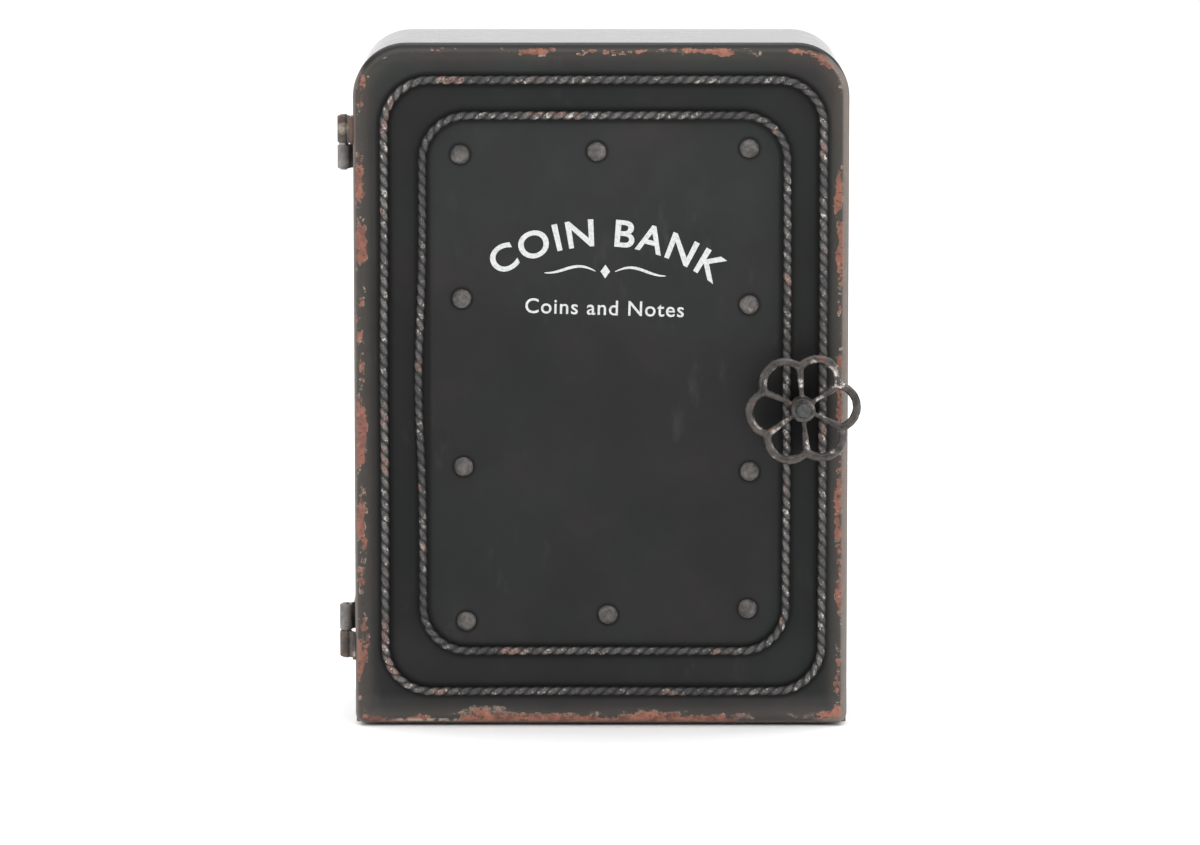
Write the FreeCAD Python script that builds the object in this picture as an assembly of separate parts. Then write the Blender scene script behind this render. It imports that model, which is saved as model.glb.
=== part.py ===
"""Safe-shaped money box in sheet steel: a wrapped case with a coin slot in its back and a hinged pan door.

Millimetres. +X is to the right, +Y is to the back, +Z is up. The origin is the middle of the underside.
Each function makes one sub-part. main() writes each of them to parts/NODE.step.
"""

import FreeCAD, Part

import math
import os

from FreeCAD import Vector

# How far a cutting tool runs past what it cuts, and the error allowed when edges are picked by their place
CUT = 1.0
TINY = 1e-6

# Case
WIDTH = 216.0
HEIGHT = 300.0
CASE_DEPTH = 86.0
SHEET = 1.0
TOP_RADIUS = 23.0
LIP_WIDTH = 11.0
BASE_FLANGE = 8.0
BACK_FLANGE = 10.0
BACK_RECESS = 1.0
SLOT_LENGTH = 42.0
SLOT_WIDTH = 5.0
SLOT_CORNER = 2.0
SLOT_Z = 258.0
WALL_HOLE_RADIUS = 2.5
WALL_HOLES_ACROSS = 150.0
WALL_HOLES_UP = 220.0

# Door
DOOR_GAP = 0.5
DOOR_DEPTH = 13.5
DOOR_LIFT = 1.0
DOOR_BASE_RADIUS = 4.5
DOOR_EDGE_RADIUS = 4.0
DOUBLER = 0.8
DOUBLER_INSET = 6.5
DOUBLER_RADIUS = 12.0

# Twisted mouldings on the door's face: left, right, bottom, top, corner radius of the centre line
OUTER_ROPE = (-94.4, 96.6, 16.2, 284.8, 20.0)
INNER_ROPE = (-77.9, 80.9, 34.0, 269.4, 19.5)
ROPE_RADIUS = 2.1
ROPE_SEAT = 0.2

# Rivets, set by hand and so a little out of line: each row's height at its left and right ends, and each x
RIVET_ROWS = (
    (252.4, 255.0, (-61.3, -2.0, 64.4)),
    (189.3, 186.7, (-60.8, 64.6)),
    (115.4, 113.2, (-60.1, 64.9)),
    (47.1, 52.6, (-59.0, 3.0, 64.2)),
)
RIVET_SHANK = 1.6
RIVET_HEAD = 4.3
RIVET_RISE = 2.4
RIVET_TAIL = 2.6
RIVET_TAIL_RISE = 1.0

# Hinges: the axis stands off the left wall; each knuckle's bottom and top
HINGE_OFFSET = 4.4
KNUCKLE_RADIUS = 2.75
KNUCKLE_CHAMFER = 0.45
LEAF_STEP = 2.6
LEAF_STEP_EASE = 0.4
HINGE_PIN_RADIUS = 1.5
HINGE_CLEARANCE = 0.06
HINGE_PLATE = 1.2
CASE_LEAF_LENGTH = 23.0
DOOR_LEAF_LENGTH = 10.0
UPPER_DOOR_KNUCKLE = (256.4, 268.3)
UPPER_CASE_KNUCKLE = (245.0, 255.4)
LOWER_CASE_KNUCKLE = (41.1, 52.7)
LOWER_DOOR_KNUCKLE = (29.2, 40.8)
HINGE_WASHER_RADIUS = 2.1
HINGE_WASHER_GAP = 0.1
PIN_PROUD = 0.5

# Latch: the spindle's place on the door, then lengths along it
SPINDLE_X = 87.7
SPINDLE_Z = 142.5
SPINDLE_RADIUS = 2.5
SPINDLE_CLEARANCE = 0.05
SPINDLE_SQUARE = 3.5
STUD_RADIUS = 1.7
STUD_LENGTH = 5.6
BUSH_RADIUS = 4.0
BUSH_FRONT = 6.0
BUSH_BACK = 4.0
BUSH_FLANGE_RADIUS = 8.0
BUSH_FLANGE = 1.5
END_PLAY = 0.25
WASHER = 0.75
WASHER_RADIUS = 4.8
CAM_THICKNESS = 2.0
CAM_CLEARANCE = 0.8
CAM_RADIUS = 6.0
CAM_REACH = 15.5
CAM_TIP_RADIUS = 4.0
COLLAR_RADIUS = 4.0
STOP_PEG = 1.1
STOP_PEG_REACH = 7.0
STOP_RISE = 1.6
STOP_SLACK = 2.0
STOP_PLAY = 0.02
STOP_SEAT = 0.2
STOP_PEG_ROOT = 3.5
STOP_LUG = 1.6
STOP_LUG_ROOT = 4.9
NUT_WIDTH = 7.0
NUT_HEIGHT = 3.0
CAM_WASHER = 0.8
CAM_WASHER_RADIUS = 4.0

# Handwheel: six round petals whose ends meet at six spokes
PETALS = 6
WHEEL_TURN = 5.0
WHEEL_RADIUS = 25.2
RIM_BAR = 1.8
CUSP_RADIUS = 18.6
SPOKE_BAR = 1.45
SPOKE_ROOT = 3.5
SPOKE_KNEE = 0.7
SPOKE_KNEE_RISE = 0.3
KNOT_RADIUS = 1.95
HUB_RADIUS = 5.4
HUB_LENGTH = 12.0
HUB_EDGE = 1.0
DISH = 2.5
SCREW_RADIUS = 1.4
SCREW_LENGTH = 7.0
TAPPED_DEPTH = 8.0
SCREW_HEAD_RADIUS = 3.5
SCREW_HEAD = 2.6

# Planes along Y that follow from the sizes above
CASE_FRONT = -CASE_DEPTH / 2
CASE_BACK = CASE_DEPTH / 2
DOOR_BACK = CASE_FRONT - DOOR_GAP
DOOR_FRONT = DOOR_BACK - DOOR_DEPTH
DOOR_INSIDE = DOOR_FRONT + SHEET
HINGE_X = -WIDTH / 2 - HINGE_OFFSET
HINGE_Y = CASE_FRONT - DOOR_GAP / 2
BUSH_NOSE = DOOR_FRONT - BUSH_FRONT
BUSH_TAIL = DOOR_INSIDE + BUSH_BACK
HUB_BACK = BUSH_NOSE - END_PLAY - WASHER
HUB_FRONT = HUB_BACK - HUB_LENGTH
RIM_PLANE = HUB_BACK - HUB_LENGTH / 2 - DISH
CAM_FRONT = CASE_FRONT + SHEET + CAM_CLEARANCE
CAM_BACK = CAM_FRONT + CAM_THICKNESS

X_AXIS = Vector(1, 0, 0)
Y_AXIS = Vector(0, 1, 0)
Z_AXIS = Vector(0, 0, 1)


def outline(left, right, bottom, top, y, base_radius, top_radius):
    """A closed wire in the plane at y: a rectangle whose two lower and two upper corners are alike."""
    corners = (
        (left, bottom, base_radius, (0, 1), (1, 0)),
        (right, bottom, base_radius, (-1, 0), (0, 1)),
        (right, top, top_radius, (0, -1), (-1, 0)),
        (left, top, top_radius, (1, 0), (0, -1)),
    )
    ends = []
    arcs = []
    for x, z, radius, before, after in corners:
        start = Vector(x + before[0] * radius, y, z + before[1] * radius)
        end = Vector(x + after[0] * radius, y, z + after[1] * radius)
        bulge = radius * (1 - math.sqrt(0.5))
        middle = Vector(x + (before[0] + after[0]) * bulge, y, z + (before[1] + after[1]) * bulge)
        ends.append((start, end))
        arcs.append(Part.Arc(start, middle, end).toShape() if radius > 0 else None)
    edges = []
    for i, arc in enumerate(arcs):
        if arc:
            edges.append(arc)
        edges.append(Part.makeLine(ends[i][1], ends[(i + 1) % len(ends)][0]))
    return Part.Wire(edges)


def slab(left, right, bottom, top, y_front, y_back, base_radius=0.0, top_radius=0.0):
    """A plate with rounded corners, from y_front to y_back."""
    face = Part.Face(outline(left, right, bottom, top, y_front, base_radius, top_radius))
    return face.extrude(Vector(0, y_back - y_front, 0))


def box(x0, x1, y0, y1, z0, z1):
    return Part.makeBox(x1 - x0, y1 - y0, z1 - z0, Vector(x0, y0, z0))


def rod(radius, x, z, y_front, y_back):
    """A round bar along Y."""
    return Part.makeCylinder(radius, y_back - y_front, Vector(x, y_front, z), Y_AXIS)


def post(radius, x, y, z_bottom, z_top):
    """A round bar along Z."""
    return Part.makeCylinder(radius, z_top - z_bottom, Vector(x, y, z_bottom), Z_AXIS)


def cap(radius, y_base, y_tip):
    """A quarter profile of a domed end: the arc from its tip on the axis to its edge."""
    rise = abs(y_tip - y_base)
    ball = (radius * radius + rise * rise) / (2 * rise)
    centre = y_tip + math.copysign(ball, y_base - y_tip)
    half = math.asin(radius / ball) / 2
    middle = Vector(ball * math.sin(half), centre + math.copysign(ball * math.cos(half), y_tip - y_base), 0)
    return Part.Arc(Vector(0, y_tip, 0), middle, Vector(radius, y_base, 0)).toShape()


def straight(*corners):
    """Straight edges of a profile through (radius, y) corners."""
    points = [Vector(radius, y, 0) for radius, y in corners]
    return [Part.makeLine(p, q) for p, q in zip(points, points[1:])]


def turned(profile, x, z):
    """A solid of revolution about the line along Y through x, z. The profile is a closed list of edges."""
    wire = Part.Wire(Part.__sortEdges__(profile))
    solid = Part.Face(wire).revolve(Vector(0, 0, 0), Y_AXIS, 360)
    solid.translate(Vector(x, 0, z))
    return solid


def rivet_places():
    places = []
    for left_z, right_z, row in RIVET_ROWS:
        for x in row:
            places.append((x, left_z + (right_z - left_z) * (x - row[0]) / (row[-1] - row[0])))
    return places


# ---- case ----


def case_wrap():
    """Left wall, roof and right wall, bent from one sheet."""
    half = WIDTH / 2
    outer = slab(-half, half, 0, HEIGHT, CASE_FRONT, CASE_BACK, 0, TOP_RADIUS)
    inner = slab(
        -half + SHEET, half - SHEET, -CUT, HEIGHT - SHEET, CASE_FRONT - CUT, CASE_BACK + CUT,
        0, TOP_RADIUS - SHEET,
    )
    return outer.cut(inner)


def base_plate():
    """Floor of the case, with an upturned flange against each wall."""
    half = WIDTH / 2 - SHEET
    plate = box(-half, half, CASE_FRONT, CASE_BACK, 0, SHEET)
    flange_front = CASE_FRONT + SHEET
    flange_back = CASE_BACK - BACK_RECESS - SHEET - BACK_FLANGE
    left = box(-half, -half + SHEET, flange_front, flange_back, SHEET, SHEET + BASE_FLANGE)
    right = box(half - SHEET, half, flange_front, flange_back, SHEET, SHEET + BASE_FLANGE)
    return plate.fuse([left, right]).removeSplitter()


def front_frame():
    """The lip that stiffens the case's mouth, and that the cam hooks behind."""
    half = WIDTH / 2 - SHEET
    outer = slab(-half, half, SHEET, HEIGHT - SHEET, CASE_FRONT, CASE_FRONT + SHEET, 0, TOP_RADIUS - SHEET)
    mouth = slab(
        -half + LIP_WIDTH, half - LIP_WIDTH, SHEET + LIP_WIDTH, HEIGHT - SHEET - LIP_WIDTH,
        CASE_FRONT - CUT, CASE_FRONT + SHEET + CUT, DOOR_BASE_RADIUS, TOP_RADIUS - SHEET - LIP_WIDTH,
    )
    return outer.cut(mouth)


def back_panel():
    """A shallow pan set into the back of the case, with the coin slot and four holes for wall screws."""
    half = WIDTH / 2 - SHEET
    back = CASE_BACK - BACK_RECESS
    front = back - SHEET - BACK_FLANGE
    corner = 2 * SHEET
    outer = slab(-half, half, SHEET, HEIGHT - SHEET, front, back, corner, TOP_RADIUS - SHEET)
    inner = slab(
        -half + SHEET, half - SHEET, 2 * SHEET, HEIGHT - 2 * SHEET, front - CUT, back - SHEET,
        corner - SHEET, TOP_RADIUS - 2 * SHEET,
    )
    slot = slab(
        -SLOT_LENGTH / 2, SLOT_LENGTH / 2, SLOT_Z - SLOT_WIDTH / 2, SLOT_Z + SLOT_WIDTH / 2,
        back - SHEET - CUT, back + CUT, SLOT_CORNER, SLOT_CORNER,
    )
    panel = outer.cut(inner).cut(slot)
    for x in (-WALL_HOLES_ACROSS / 2, WALL_HOLES_ACROSS / 2):
        for z in (HEIGHT / 2 - WALL_HOLES_UP / 2, HEIGHT / 2 + WALL_HOLES_UP / 2):
            panel = panel.cut(rod(WALL_HOLE_RADIUS, x, z, back - SHEET - CUT, back + CUT))
    return panel


# ---- hinges ----


def knuckle(z_range, bore):
    """A tube about the hinge axis with its end edges broken."""
    bottom, top = z_range
    tube = post(KNUCKLE_RADIUS, HINGE_X, HINGE_Y, bottom, top)
    rims = [e for e in tube.Edges if e.Curve.TypeId == "Part::GeomCircle"]
    tube = tube.makeChamfer(KNUCKLE_CHAMFER, rims)
    return tube.cut(post(bore, HINGE_X, HINGE_Y, bottom - CUT, top + CUT))


def hinge_leaf(z_range, bore, side, length):
    """A knuckle and its plate, which steps in to lie on the wall. side is +1 for the back, -1 for the front."""
    bottom, top = z_range
    wall = -WIDTH / 2
    step_end = LEAF_STEP + HINGE_OFFSET - KNUCKLE_RADIUS
    inner = HINGE_X + KNUCKLE_RADIUS
    outer = inner - HINGE_PLATE
    points = (
        (outer, 0.0),
        (inner, 0.0),
        (inner, LEAF_STEP),
        (wall, step_end),
        (wall, length),
        (wall - HINGE_PLATE, length),
        (wall - HINGE_PLATE, step_end + LEAF_STEP_EASE),
        (outer, LEAF_STEP + LEAF_STEP_EASE),
    )
    corners = [Vector(x, HINGE_Y + side * y, bottom) for x, y in points]
    plate = Part.Face(Part.makePolygon(corners + corners[:1])).extrude(Vector(0, 0, top - bottom))
    leaf = knuckle(z_range, bore).fuse(plate)
    return leaf.cut(post(bore, HINGE_X, HINGE_Y, bottom - CUT, top + CUT)).removeSplitter()


def case_leaf(z_range):
    """The pin is pressed into this leaf."""
    return hinge_leaf(z_range, HINGE_PIN_RADIUS, 1, CASE_LEAF_LENGTH)


def door_leaf(z_range):
    """This leaf turns on the pin."""
    return hinge_leaf(z_range, HINGE_PIN_RADIUS + HINGE_CLEARANCE, -1, DOOR_LEAF_LENGTH)


def hinge_pin(low_knuckle, high_knuckle):
    return post(HINGE_PIN_RADIUS, HINGE_X, HINGE_Y, low_knuckle[0] - PIN_PROUD, high_knuckle[1] + PIN_PROUD)


def hinge_washer():
    """Thrust washer that carries the door on the upper hinge. It sits on the case's knuckle."""
    bottom = UPPER_CASE_KNUCKLE[1]
    top = UPPER_DOOR_KNUCKLE[0] - HINGE_WASHER_GAP
    washer = post(HINGE_WASHER_RADIUS, HINGE_X, HINGE_Y, bottom, top)
    return washer.cut(post(HINGE_PIN_RADIUS, HINGE_X, HINGE_Y, bottom - CUT, top + CUT))


# ---- door ----


def door_blank(inset, front, edge_radius):
    """The door's outline, moved in by inset, as a block with its front edge rounded."""
    half = WIDTH / 2 - inset
    block = slab(
        -half, half, DOOR_LIFT + inset, HEIGHT - inset, front, DOOR_BACK,
        DOOR_BASE_RADIUS - inset, TOP_RADIUS - inset,
    )
    rim = [e for e in block.Edges if abs(e.BoundBox.YMax - front) < TINY]
    return block.makeFillet(edge_radius, rim)


def door_skin():
    """Pressed pan with a rounded edge, pierced for the rivets and the spindle's bush."""
    outer = door_blank(0, DOOR_FRONT, DOOR_EDGE_RADIUS)
    inner = door_blank(SHEET, DOOR_INSIDE, DOOR_EDGE_RADIUS - SHEET)
    skin = outer.cut(inner)
    for x, z in rivet_places():
        skin = skin.cut(rod(RIVET_SHANK, x, z, DOOR_FRONT - CUT, DOOR_INSIDE + CUT))
    return skin.cut(rod(BUSH_RADIUS, SPINDLE_X, SPINDLE_Z, DOOR_FRONT - CUT, DOOR_INSIDE + CUT))


def door_doubler():
    """Stiffening plate behind the skin, held by the ten rivets."""
    left, right, bottom, top, _ = INNER_ROPE
    plate = slab(
        left + DOUBLER_INSET, right - DOUBLER_INSET, bottom + DOUBLER_INSET, top - DOUBLER_INSET,
        DOOR_INSIDE, DOOR_INSIDE + DOUBLER, DOUBLER_RADIUS, DOUBLER_RADIUS,
    )
    for x, z in rivet_places():
        plate = plate.cut(rod(RIVET_SHANK, x, z, DOOR_INSIDE - CUT, DOOR_INSIDE + DOUBLER + CUT))
    return plate


def rope(frame):
    """A round moulding bent to a rounded rectangle, with a narrow flat where it meets the door's face."""
    left, right, bottom, top, radius = frame
    y = DOOR_FRONT - ROPE_RADIUS + ROPE_SEAT
    path = outline(left, right, bottom, top, y, radius, radius)
    middle = Vector(left, y, (bottom + top) / 2)
    section = Part.Wire(Part.makeCircle(ROPE_RADIUS, middle, Z_AXIS))
    start = Part.makeLine(Vector(left, y, top - radius), middle)
    end = Part.makeLine(middle, Vector(left, y, bottom + radius))
    edges = [e for e in path.Edges if not (abs(e.BoundBox.XMin - left) < TINY and e.BoundBox.XLength < TINY)]
    route = Part.Wire(Part.__sortEdges__([end] + edges + [start]))
    tube = route.makePipeShell([section], True, True)
    edge = ROPE_RADIUS + CUT
    flat = box(left - edge, right + edge, DOOR_FRONT, DOOR_FRONT + edge, bottom - edge, top + edge)
    return tube.cut(flat)


def rivets():
    """Ten rivets: a domed head, a shank through skin and doubler, and a low tail behind."""
    front = DOOR_FRONT
    back = DOOR_INSIDE + DOUBLER
    head_tip = front - RIVET_RISE
    tail_tip = back + RIVET_TAIL_RISE
    profile = [cap(RIVET_HEAD, front, head_tip), cap(RIVET_TAIL, back, tail_tip)]
    profile += straight((RIVET_HEAD, front), (RIVET_SHANK, front), (RIVET_SHANK, back), (RIVET_TAIL, back))
    profile += straight((0, tail_tip), (0, head_tip))
    return Part.Compound([turned(profile, x, z) for x, z in rivet_places()])


def spindle_bush():
    """Flanged bush welded inside the door. Two lugs on it stop the collar's peg a quarter turn apart."""
    body = rod(BUSH_RADIUS, SPINDLE_X, SPINDLE_Z, BUSH_NOSE, BUSH_TAIL)
    flange = rod(BUSH_FLANGE_RADIUS, SPINDLE_X, SPINDLE_Z, DOOR_INSIDE, DOOR_INSIDE + BUSH_FLANGE)
    lug_back = BUSH_TAIL + END_PLAY + STOP_RISE
    lug_front = DOOR_INSIDE + BUSH_FLANGE - STOP_SEAT
    near = STOP_PEG / 2 + STOP_PLAY
    far = near + STOP_LUG
    bush = body.fuse(flange)
    for angle, z0, z1 in ((-90.0 - STOP_SLACK, -far, -near), (STOP_SLACK, near, far)):
        lug = box(STOP_LUG_ROOT, STOP_PEG_REACH, lug_front, lug_back, z0, z1)
        lug.rotate(Vector(0, 0, 0), -Y_AXIS, angle)
        lug.translate(Vector(SPINDLE_X, 0, SPINDLE_Z))
        bush = bush.fuse(lug)
    bore = rod(SPINDLE_RADIUS + SPINDLE_CLEARANCE, SPINDLE_X, SPINDLE_Z, BUSH_NOSE - CUT, BUSH_TAIL + CUT)
    return bush.removeSplitter().cut(bore)


# ---- latch: everything that turns with the handwheel ----


def spindle():
    """Round shaft, a square for the cam, then a threaded stud."""
    shaft = rod(SPINDLE_RADIUS, SPINDLE_X, SPINDLE_Z, HUB_FRONT, CAM_FRONT)
    h = SPINDLE_SQUARE / 2
    square = box(SPINDLE_X - h, SPINDLE_X + h, CAM_FRONT, CAM_BACK, SPINDLE_Z - h, SPINDLE_Z + h)
    stud = rod(STUD_RADIUS, SPINDLE_X, SPINDLE_Z, CAM_BACK, CAM_BACK + STUD_LENGTH)
    tapped = rod(SCREW_RADIUS, SPINDLE_X, SPINDLE_Z, HUB_FRONT - CUT, HUB_FRONT + TAPPED_DEPTH)
    return shaft.fuse([square, stud]).removeSplitter().cut(tapped)


def wheel_washer():
    disc = rod(WASHER_RADIUS, SPINDLE_X, SPINDLE_Z, HUB_BACK, HUB_BACK + WASHER)
    return disc.cut(rod(SPINDLE_RADIUS, SPINDLE_X, SPINDLE_Z, HUB_BACK - CUT, HUB_BACK + WASHER + CUT))


def stop_collar():
    """Spacer between bush and cam. Its peg runs between the bush's lugs."""
    front = BUSH_TAIL + END_PLAY
    collar = rod(COLLAR_RADIUS, SPINDLE_X, SPINDLE_Z, front, CAM_FRONT)
    h = STOP_PEG / 2
    peg_low = SPINDLE_Z - STOP_PEG_REACH
    peg_high = SPINDLE_Z - STOP_PEG_ROOT
    peg = box(SPINDLE_X - h, SPINDLE_X + h, front, front + STOP_RISE, peg_low, peg_high)
    bore = rod(SPINDLE_RADIUS, SPINDLE_X, SPINDLE_Z, front - CUT, CAM_FRONT + CUT)
    return collar.fuse(peg).removeSplitter().cut(bore)


def latch_cam():
    """Arm that hangs down when the latch is free and lies behind the case's lip when it is locked."""
    eye = rod(CAM_RADIUS, SPINDLE_X, SPINDLE_Z, CAM_FRONT, CAM_BACK)
    tip_z = SPINDLE_Z - CAM_REACH + CAM_TIP_RADIUS
    tip = rod(CAM_TIP_RADIUS, SPINDLE_X, tip_z, CAM_FRONT, CAM_BACK)
    web = box(SPINDLE_X - CAM_TIP_RADIUS, SPINDLE_X + CAM_TIP_RADIUS, CAM_FRONT, CAM_BACK, tip_z, SPINDLE_Z)
    h = SPINDLE_SQUARE / 2
    hole = box(SPINDLE_X - h, SPINDLE_X + h, CAM_FRONT - CUT, CAM_BACK + CUT, SPINDLE_Z - h, SPINDLE_Z + h)
    return eye.fuse([tip, web]).removeSplitter().cut(hole)


def cam_washer():
    disc = rod(CAM_WASHER_RADIUS, SPINDLE_X, SPINDLE_Z, CAM_BACK, CAM_BACK + CAM_WASHER)
    return disc.cut(rod(STUD_RADIUS, SPINDLE_X, SPINDLE_Z, CAM_BACK - CUT, CAM_BACK + CAM_WASHER + CUT))


def cam_nut():
    front = CAM_BACK + CAM_WASHER
    back = front + NUT_HEIGHT
    corner = NUT_WIDTH / math.sqrt(3)
    turns = [math.radians(60 * i) for i in range(7)]
    points = [Vector(corner * math.cos(a), front, corner * math.sin(a)) for a in turns]
    prism = Part.Face(Part.makePolygon(points)).extrude(Vector(0, NUT_HEIGHT, 0))
    prism.translate(Vector(SPINDLE_X, 0, SPINDLE_Z))
    return prism.cut(rod(STUD_RADIUS, SPINDLE_X, SPINDLE_Z, front - CUT, back + CUT))


def wheel_screw():
    """Domed screw in the hub's face."""
    seat = HUB_FRONT
    tip = seat - SCREW_HEAD
    end = seat + SCREW_LENGTH
    head = SCREW_HEAD_RADIUS
    profile = [cap(head, seat, tip)]
    profile += straight((head, seat), (SCREW_RADIUS, seat), (SCREW_RADIUS, end), (0, end), (0, tip))
    return turned(profile, SPINDLE_X, SPINDLE_Z)


def petal_sizes():
    """Radius of a petal's arc, its centre's distance from the hub, and half the angle that it spans."""
    peak = WHEEL_RADIUS - RIM_BAR
    half_turn = math.pi / PETALS
    across = CUSP_RADIUS * math.cos(half_turn)
    up = CUSP_RADIUS * math.sin(half_turn)
    reach = peak - across
    radius = (reach * reach + up * up) / (2 * reach)
    centre = peak - radius
    return radius, centre, math.atan2(up, across - centre)


def handwheel():
    """One casting: hub, six spokes that rise to the rim, and a rim of six petals. It faces -Y."""
    radius, centre, half_span = petal_sizes()
    start = Vector(centre + radius * math.cos(half_span), RIM_PLANE, -radius * math.sin(half_span))
    tangent = Vector(math.sin(half_span), 0, math.cos(half_span))
    disc = Part.Face(Part.Wire(Part.makeCircle(RIM_BAR, start, tangent)))
    petal = disc.revolve(Vector(centre, 0, 0), -Y_AXIS, math.degrees(2 * half_span))
    hub = rod(HUB_RADIUS, 0, 0, HUB_FRONT, HUB_BACK)
    hub = hub.makeFillet(HUB_EDGE, [e for e in hub.Edges if e.Curve.TypeId == "Part::GeomCircle"])
    root = Vector(SPOKE_ROOT, HUB_BACK - HUB_LENGTH / 2, 0)
    knee = Vector(CUSP_RADIUS * SPOKE_KNEE, root.y - SPOKE_KNEE_RISE * DISH, 0)
    tip = Vector(CUSP_RADIUS, RIM_PLANE, 0)
    route = Part.Wire(Part.Arc(root, knee, tip).toShape())
    first = route.Edges[0]
    ring = Part.Wire(Part.makeCircle(SPOKE_BAR, root, first.tangentAt(first.FirstParameter)))
    spoke = route.makePipeShell([ring], True, True)
    knot = Part.makeSphere(KNOT_RADIUS, tip)
    pieces = []
    for i in range(PETALS):
        turn = WHEEL_TURN + i * 360.0 / PETALS
        for piece, extra in ((petal, 0.0), (spoke, 180.0 / PETALS), (knot, 180.0 / PETALS)):
            copy = piece.copy()
            copy.rotate(Vector(0, 0, 0), -Y_AXIS, turn + extra)
            pieces.append(copy)
    wheel = hub.fuse(pieces)
    wheel = wheel.cut(rod(SPINDLE_RADIUS, 0, 0, HUB_FRONT - CUT, HUB_BACK + CUT))
    wheel.translate(Vector(SPINDLE_X, 0, SPINDLE_Z))
    return wheel


def parts():
    """Every node's name and shape."""
    return {
        "case_wrap": case_wrap(),
        "base_plate": base_plate(),
        "front_frame": front_frame(),
        "back_panel": back_panel(),
        "upper_hinge_case_leaf": case_leaf(UPPER_CASE_KNUCKLE),
        "upper_hinge_door_leaf": door_leaf(UPPER_DOOR_KNUCKLE),
        "upper_hinge_pin": hinge_pin(UPPER_CASE_KNUCKLE, UPPER_DOOR_KNUCKLE),
        "upper_hinge_washer": hinge_washer(),
        "lower_hinge_case_leaf": case_leaf(LOWER_CASE_KNUCKLE),
        "lower_hinge_door_leaf": door_leaf(LOWER_DOOR_KNUCKLE),
        "lower_hinge_pin": hinge_pin(LOWER_DOOR_KNUCKLE, LOWER_CASE_KNUCKLE),
        "door_skin": door_skin(),
        "door_doubler": door_doubler(),
        "outer_rope_moulding": rope(OUTER_ROPE),
        "inner_rope_moulding": rope(INNER_ROPE),
        "door_rivets": rivets(),
        "spindle_bush": spindle_bush(),
        "spindle": spindle(),
        "handwheel": handwheel(),
        "wheel_screw": wheel_screw(),
        "wheel_washer": wheel_washer(),
        "stop_collar": stop_collar(),
        "latch_cam": latch_cam(),
        "cam_washer": cam_washer(),
        "cam_nut": cam_nut(),
    }


def main():
    os.makedirs("parts", exist_ok=True)
    for name, shape in parts().items():
        shape.exportStep(os.path.join("parts", name + ".step"))
        print(f"{name:24s} valid={shape.isValid()} solids={len(shape.Solids)} volume={shape.Volume:.1f}")


if __name__ == "__main__":
    main()
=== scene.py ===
"""Looks of a safe-shaped money box, built around its CAD frame: aged black enamel on sheet steel,
twisted wire mouldings, hammered rivets, a cast handwheel, a painted sign, and a plain studio.

Sizes are in metres in the CAD frame: +X is right, +Y is back, +Z is up, and the door faces -Y.
"""

import math

import bpy
import numpy as np
from bpy.props import FloatProperty, FloatVectorProperty, IntProperty, StringProperty
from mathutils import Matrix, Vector


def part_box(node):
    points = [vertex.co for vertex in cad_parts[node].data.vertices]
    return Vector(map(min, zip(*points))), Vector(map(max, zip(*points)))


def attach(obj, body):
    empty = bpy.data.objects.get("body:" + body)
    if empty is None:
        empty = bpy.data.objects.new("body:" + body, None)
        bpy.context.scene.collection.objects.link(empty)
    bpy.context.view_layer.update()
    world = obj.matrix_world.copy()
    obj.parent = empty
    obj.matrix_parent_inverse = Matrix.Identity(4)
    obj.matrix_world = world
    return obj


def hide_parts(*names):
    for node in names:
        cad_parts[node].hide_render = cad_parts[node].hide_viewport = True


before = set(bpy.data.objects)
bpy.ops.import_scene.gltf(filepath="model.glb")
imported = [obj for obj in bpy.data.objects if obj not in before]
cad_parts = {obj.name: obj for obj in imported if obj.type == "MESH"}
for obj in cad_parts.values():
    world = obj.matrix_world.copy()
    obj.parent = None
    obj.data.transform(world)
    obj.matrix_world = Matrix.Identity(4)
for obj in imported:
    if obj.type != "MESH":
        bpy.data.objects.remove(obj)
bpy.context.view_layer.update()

bl_info = {
    "name": "Safe-shaped Money Box",
    "version": (1, 0, 0),
    "blender": (4, 5, 0),
    "location": "View3D > Sidebar > Money Box",
    "description": "Finishes the money box: enamel, wire mouldings, rivets, handwheel, sign and studio",
    "category": "Object",
}

MM = 0.001

CASE_LOW, CASE_HIGH = (np.array(v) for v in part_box("case_wrap"))
DOOR_LOW, DOOR_HIGH = (np.array(v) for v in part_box("door_skin"))
FACE = DOOR_LOW[1]
TOP_RADIUS = 23 * MM
BASE_RADIUS = 4.5 * MM
SHEET = 1 * MM
CASE_HALF_DEPTH = 43 * MM
SIGN_TILT = math.radians(-1.6)
WIRE_RADIUS = 2.1 * MM
ROPE_CORNERS = {"outer_rope_moulding": 20 * MM, "inner_rope_moulding": 19.5 * MM}


def rope_outline(node):
    """Opposite corners, in x and z, of the rounded rectangle around a wire moulding, and its
    corner radius."""
    low, high = (np.array(v)[[0, 2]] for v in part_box(node))
    return low, high, ROPE_CORNERS[node]


def middle_of(node):
    """The middle of a node's box."""
    low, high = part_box(node)
    return (np.array(low) + np.array(high)) / 2


def spindle_centre():
    """The x and z of the line that the handwheel turns about."""
    return middle_of("spindle")[[0, 2]]


# ---- numpy surfaces ----


def smooth(t):
    """Eases t from 0 to 1 with level ends."""
    t = np.clip(t, 0, 1)
    return t * t * (3 - 2 * t)


def bump(t, centre, width):
    """A bell about centre."""
    return np.exp(-(((t - centre) / width) ** 2))


def wander(t, seed, waves=5):
    """Slow irregularity along t in radians: a seeded sum of sines, within about -1 to 1, that
    closes after a turn."""
    random = np.random.default_rng(seed)
    total = 0
    for k in range(1, waves + 1):
        size = random.uniform(0.3, 1) / math.sqrt(k)
        total = total + size * np.sin(k * t + random.uniform(0, 2 * math.pi))
    return total / 2.2


def turned(count):
    """Evenly spaced angles around a full turn."""
    return np.linspace(0, 2 * math.pi, count, endpoint=False)


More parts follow.
